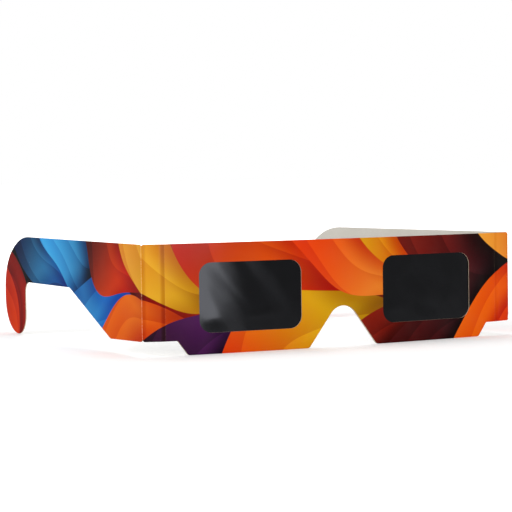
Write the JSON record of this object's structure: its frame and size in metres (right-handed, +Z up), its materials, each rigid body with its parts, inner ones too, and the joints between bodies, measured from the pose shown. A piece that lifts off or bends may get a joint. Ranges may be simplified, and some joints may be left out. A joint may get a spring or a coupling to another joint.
{
  "type": "eclipse glasses",
  "caption": "Folding card eyewear for watching the sun, with dark film windows, creased hinge strips and flat temples with ear hooks.",
  "frame": {"origin": "on the resting plane, under the middle of the open glasses' width and depth", "axes": "+Z up, the printed front faces -Y, the temples point to +Y, +X to the right as seen from the front"},
  "size_m": [0.1472, 0.1342, 0.037],
  "materials": {
    "printed_card": "gloss",
    "plain_card": "matte",
    "filter_film": "gloss",
    "glue": "satin"
  },
  "bodies": {
    "front": {"front_card": "printed_card", "bond_layer": "glue", "back_card": "plain_card", "left_filter": "filter_film", "right_filter": "filter_film"},
    "left_strip": {"left_hinge_strip": "printed_card"},
    "left_arm": {"left_temple": "printed_card"},
    "right_strip": {"right_hinge_strip": "printed_card"},
    "right_arm": {"right_temple": "printed_card"}
  },
  "joints": [
    {"name": "left_inner_crease", "type": "hinge", "parent": "front", "child": "left_strip", "pos_m": [-0.06681, -0.06287, 0], "axis": [0, 0, -1], "range_deg": [-15.96, 16.96]},
    {"name": "left_outer_crease", "type": "hinge", "parent": "left_strip", "child": "left_arm", "pos_m": [-0.07301, -0.06032, 0], "axis": [0, 0, -1], "range_deg": [-68.7, 73]},
    {"name": "right_inner_crease", "type": "hinge", "parent": "front", "child": "right_strip", "pos_m": [0.06681, -0.06287, 0], "axis": [0, 0, 1], "range_deg": [-9.61, 8.85]},
    {"name": "right_outer_crease", "type": "hinge", "parent": "right_strip", "child": "right_arm", "pos_m": [0.07325, -0.06102, 0], "axis": [0, 0, 1], "range_deg": [-79.3, 73]}
  ],
  "couplings": [
    {"joint": "left_inner_crease", "follows": "left_outer_crease", "ratio": 0.23217},
    {"joint": "right_inner_crease", "follows": "right_outer_crease", "ratio": 0.12106}
  ]
}
